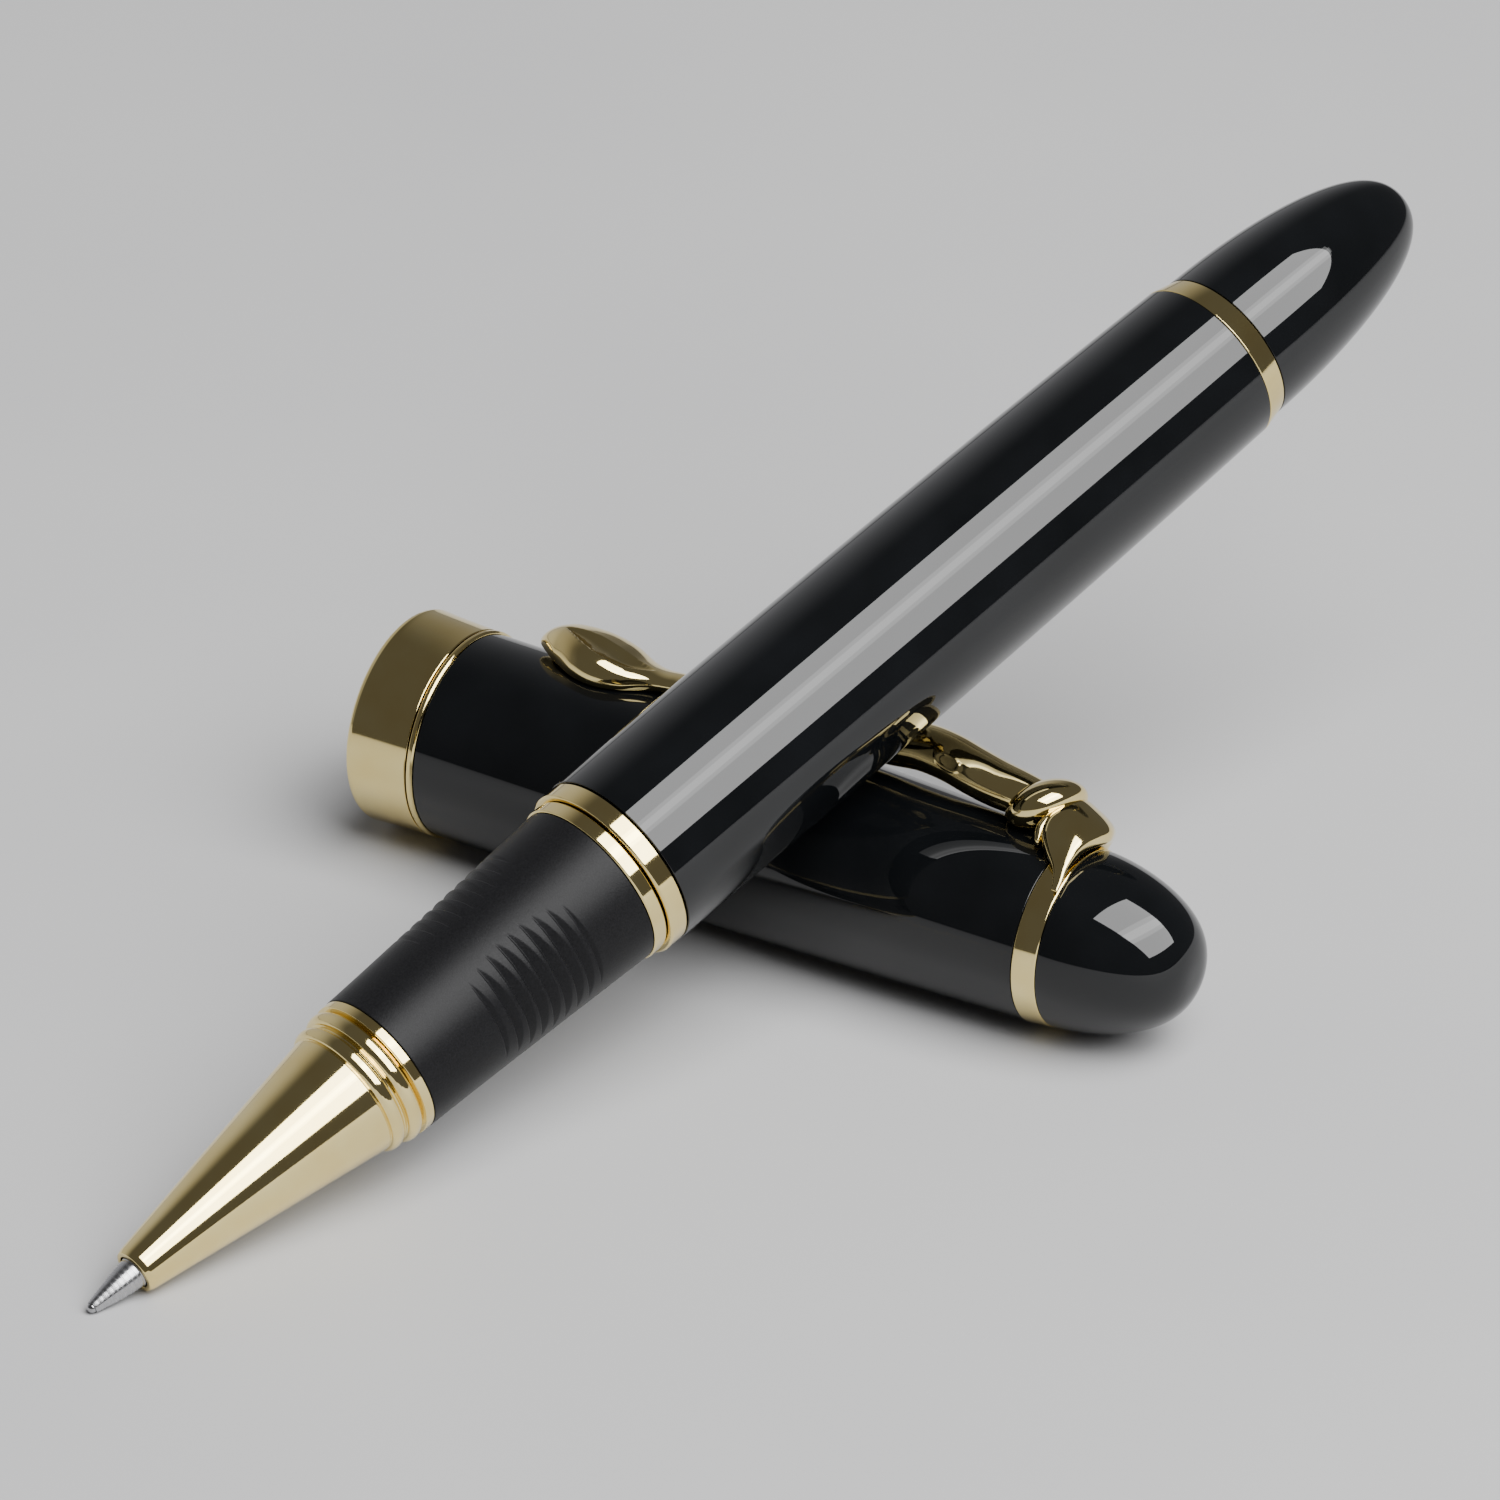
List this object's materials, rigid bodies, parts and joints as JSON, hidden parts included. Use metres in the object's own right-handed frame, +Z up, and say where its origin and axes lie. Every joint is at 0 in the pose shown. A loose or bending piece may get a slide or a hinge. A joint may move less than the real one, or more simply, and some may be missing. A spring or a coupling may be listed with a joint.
{
  "type": "rollerball pen with its cap off",
  "caption": "Black lacquer and gold rollerball pen lying across its separate push-on cap, with a sprung clip, a screw-off barrel and a replaceable refill.",
  "frame": {"origin": "on the surface the pen and cap lie on, under the middle of their common box", "axes": "+Z up; the cap lies along +X with its mouth at low X; the pen climbs over it towards +Y, its point at low Y"},
  "size_m": [0.0626, 0.1126, 0.0422],
  "materials": {
    "polished_gold": "mirror-polished pale gold plate on brass",
    "plain_brass": "turned brass, as machined",
    "steel": "turned stainless steel",
    "black_lacquer": "deep gloss black lacquer on a metal tube",
    "satin_black": "satin black resin",
    "black_plastic": "moulded black plastic",
    "ink_tube": "glossy blue-black refill body"
  },
  "bodies": {
    "cap": {"cap_tube": "black_lacquer", "lip_band": "polished_gold", "lip_rim": "polished_gold", "snap_ring": "black_plastic", "cap_liner": "black_plastic", "cap_bush": "plain_brass", "clip_ring": "polished_gold", "cap_crown": "black_lacquer", "crown_screw": "plain_brass"},
    "clip": {"clip": "polished_gold"},
    "section": {"nose_cone": "polished_gold", "grip_sleeve": "satin_black", "section_core": "plain_brass", "section_ring": "polished_gold"},
    "thrust_cup": {"spring_follower": "black_plastic"},
    "spring": {"refill_spring": "steel"},
    "barrel": {"barrel_tube": "black_lacquer", "barrel_bush": "plain_brass", "barrel_ring": "polished_gold", "tail_bush": "plain_brass", "tail_ring": "polished_gold", "tail_dome": "black_lacquer"},
    "refill": {"refill_tube": "ink_tube", "refill_neck": "black_plastic", "refill_tip": "steel", "refill_plug": "black_plastic"},
    "ball": {"writing_ball": "steel"}
  },
  "joints": [
    {"name": "clip_flex", "type": "hinge", "parent": "cap", "child": "clip", "pos_m": [0.02197, 0.01003, 0.01272], "axis": [-0.007, 0.9397, -0.3419], "range_deg": [0, 2.5], "stiffness_Nm_per_rad": 2, "springref_deg": -1.15},
    {"name": "pen_lift_off", "type": "slide", "parent": "clip", "child": "section", "axis": [0, 0, 1], "range_m": [0, 0.1]},
    {"name": "barrel_pull_off", "type": "slide", "parent": "section", "child": "thrust_cup", "axis": [0.2525, 0.9128, 0.3209], "range_m": [0, 0.125]},
    {"name": "barrel_screw_advance", "type": "slide", "parent": "thrust_cup", "child": "spring", "axis": [0.2525, 0.9128, 0.3209], "range_m": [0, 0.0045]},
    {"name": "barrel_unscrew", "type": "hinge", "parent": "spring", "child": "barrel", "pos_m": [0.00284, -0.00152, 0.01955], "axis": [0.2525, 0.9128, 0.3209], "range_deg": [0, 2161]},
    {"name": "refill_withdraw", "type": "slide", "parent": "section", "child": "refill", "axis": [0.2525, 0.9128, 0.3209], "range_m": [0, 0.05]},
    {"name": "ball_roll", "type": "hinge", "parent": "refill", "child": "ball", "pos_m": [-0.01222, -0.05597, 0.0004], "axis": [0.9638, -0.2666, 0], "continuous": true}
  ],
  "couplings": [
    {"joint": "barrel_unscrew", "follows": "barrel_screw_advance", "rad_per_m": 8377.6},
    {"joint": "refill_withdraw", "follows": "barrel_pull_off", "ratio": 0.4}
  ]
}
